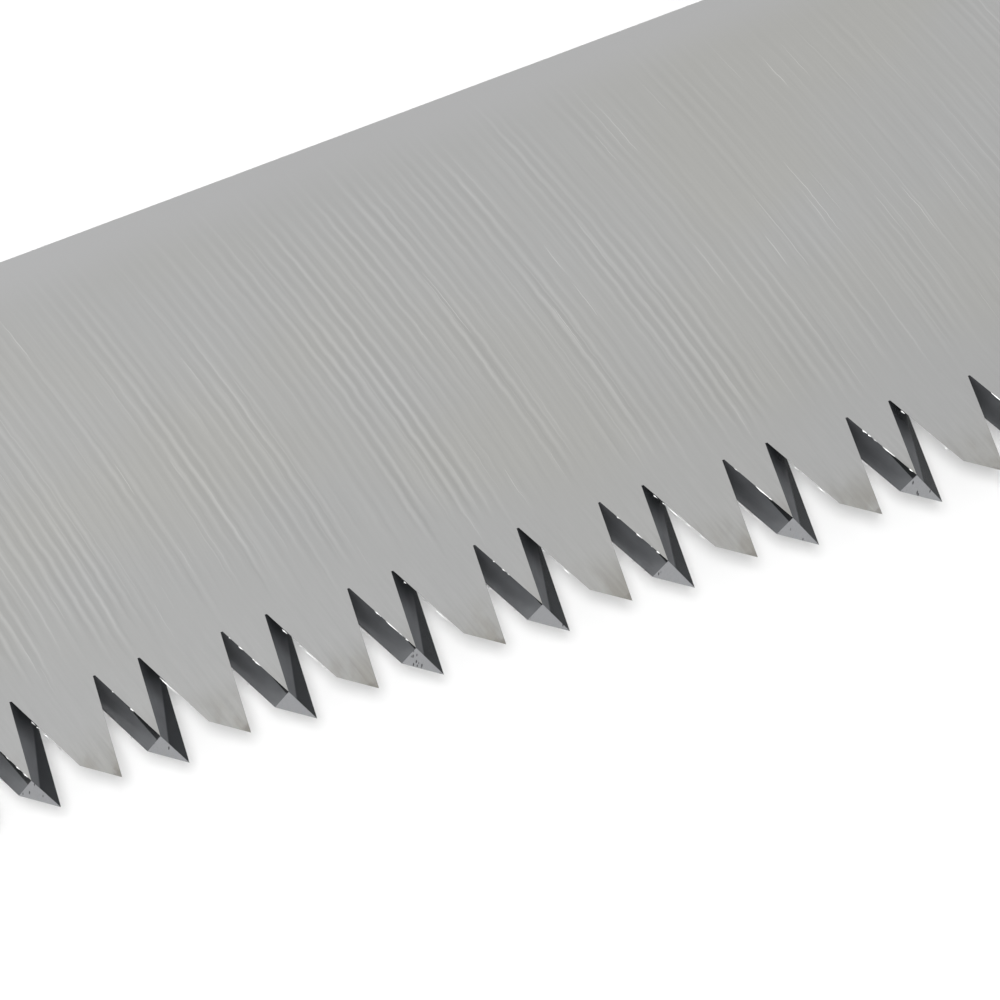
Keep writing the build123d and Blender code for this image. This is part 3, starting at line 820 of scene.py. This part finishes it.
def make_thumb_pad():
    """The lever's rubber pad, with ridges across it."""
    rubber = rubber_material("pad_rubber", (0.038, 0.039, 0.042), 0.55, 3.2, 0.07)
    pad = new_object("thumb_pad_ridged", clean_copy("thumb_pad"), [rubber])
    remesh(pad, PAD_VOXEL, PAD_SMOOTHING)
    places, normals = points_and_normals(pad)
    low, high = (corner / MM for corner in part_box("thumb_pad"))
    inside = np.minimum(places[:, 0] - low.x, high.x - places[:, 0])
    wave = 0.5 - 0.5 * np.cos((places[:, 0] - low.x) * 2 * math.pi / RIDGE_PITCH)
    near_top = soft_step(places[:, 1], high.y - RIDGE_ZONE, high.y - RIDGE_ZONE + 0.4)
    clear_of_ends = soft_step(inside, RIDGE_ZONE, RIDGE_ZONE + 1.4)
    ridged = soft_step(normals[:, 1], 0.55, 0.85) * near_top * clear_of_ends
    press_in(pad, places, normals, RIDGE_DEPTH * wave * ridged)
    smooth_by_angle(pad, 50)
    stands_for(pad, "lock_lever", "thumb_pad")


make_grips()
make_thumb_pad()

# ---- stage, light and camera, placed in metres ----

CAMERA_AZIMUTH, CAMERA_ELEVATION, CAMERA_ROLL = (math.radians(a) for a in (-14.72, 67.75, -5.21))
CAMERA_DISTANCE = 198.2 * MM
# The camera looks at the blade's left face, this far from the pivot and above the tips.
AIM_FROM_PIVOT_X, AIM_ABOVE_TIPS = -102.09, 7.755
FLOOR_HALF_WIDTH, FLOOR_GAP = 6.0, 0.0002
SKY_STRENGTH = 0.45
LAMP_DISTANCE, LAMP_SIZE, LAMP_RADIANCE = 0.22, 0.022, 250.0


def make_stage():
    """A white floor just under the lowest point of the saw."""
    bm = bmesh.new()
    bmesh.ops.create_grid(bm, x_segments=8, y_segments=8, size=FLOOR_HALF_WIDTH)
    floor = new_object("floor", bm, [floor_material()])
    floor.location.z = -FLOOR_GAP


def make_camera():
    """A long lens over the teeth. Returns the point aimed at and the camera's own axes."""
    aim = Vector((PIVOT.x + AIM_FROM_PIVOT_X, TIP_Y + AIM_ABOVE_TIPS, MID_Z + HALF_T)) * MM
    a, e, r = CAMERA_AZIMUTH, CAMERA_ELEVATION, CAMERA_ROLL
    back = Vector((math.sin(a) * math.cos(e), -math.cos(a) * math.cos(e), math.sin(e)))
    level_right = Vector((math.cos(a), math.sin(a), 0.0))
    level_up = back.cross(level_right)
    right = level_right * math.cos(r) + level_up * math.sin(r)
    up = level_up * math.cos(r) - level_right * math.sin(r)
    data = bpy.data.cameras.new("camera")
    data.lens = 135.0
    data.sensor_width = 36.0
    data.clip_start = 0.005
    data.clip_end = 20.0
    camera = bpy.data.objects.new("camera", data)
    camera.matrix_world = Matrix.Translation(aim + back * CAMERA_DISTANCE) @ (
        Matrix((right, up, back)).transposed().to_4x4()
    )
    bpy.context.scene.collection.objects.link(camera)
    bpy.context.scene.camera = camera
    return aim, back, right, up


def area_light(name, place, aim, size, radiance, shape="SQUARE"):
    """A soft light whose brightness is given as the radiance of its surface."""
    data = bpy.data.lights.new(name, "AREA")
    data.shape = shape
    data.size = size
    area = size**2 if shape == "SQUARE" else math.pi * (size / 2) ** 2
    data.energy = radiance * math.pi * area
    lamp = bpy.data.objects.new(name, data)
    lamp.location = place
    lamp.rotation_euler = (Vector(aim) - Vector(place)).to_track_quat("-Z", "Y").to_euler()
    lamp.visible_camera = False
    bpy.context.scene.collection.objects.link(lamp)


def make_light(aim, back, right, up):
    """A white studio with three soft lights around the saw and a small one beside the camera."""
    world = bpy.data.worlds.new("studio")
    world.use_nodes = True
    background = world.node_tree.nodes["Background"]
    background.inputs["Color"].default_value = WHITE
    background.inputs["Strength"].default_value = SKY_STRENGTH
    bpy.context.scene.world = world
    centre = Vector((0.0, 0.0, 0.0))
    area_light("top_softbox", (0.0, 0.25, 0.95), centre, 1.3, 0.50)
    area_light("left_panel", (-1.1, -0.4, 0.6), centre, 0.8, 2.8)
    area_light("right_panel", (1.1, -0.5, 0.7), centre, 0.8, 2.8)
    # The small lamp makes the close, even shadow around the teeth.
    heading = (back * 25.0 - right * 0.4 + up).normalized()
    area_light("camera_lamp", aim + heading * LAMP_DISTANCE, aim, LAMP_SIZE, LAMP_RADIANCE, shape="DISK")


make_stage()
make_light(*make_camera())
bpy.context.scene.view_settings.view_transform = "Standard"
